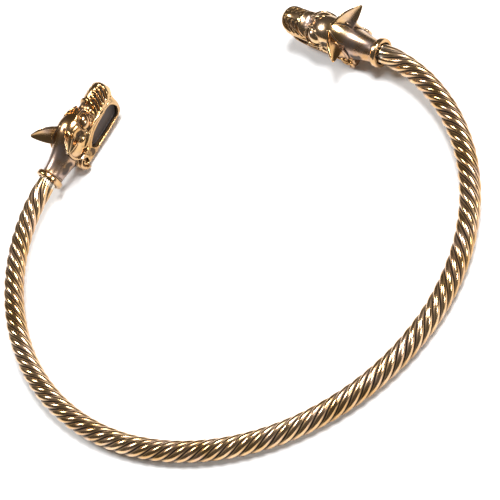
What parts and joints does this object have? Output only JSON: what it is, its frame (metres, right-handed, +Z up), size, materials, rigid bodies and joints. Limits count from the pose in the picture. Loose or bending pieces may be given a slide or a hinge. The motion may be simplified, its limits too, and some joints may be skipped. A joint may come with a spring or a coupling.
{
  "type": "bronze neck ring",
  "caption": "Open neck ring of twisted bronze strands with an open-mouthed dragon head on each end, slipped on through the gap in front and worn round the neck.",
  "frame": {"origin": "middle of the ring's outline in plan, on the surface that it lies on", "axes": "+X to the right across the ring, +Y from the back of the hoop towards the two heads, +Z up from the surface"},
  "size_m": [0.1578, 0.1432, 0.0185],
  "materials": {
    "twisted_bronze": "polished bronze with dark patina in the grooves and pale solder at both ends",
    "cast_bronze": "polished cast bronze with dark patina in the hollows"
  },
  "bodies": {
    "root": {"twisted_hoop": "twisted_bronze", "left_dragon_head": "cast_bronze", "right_dragon_head": "cast_bronze"}
  },
  "joints": []
}
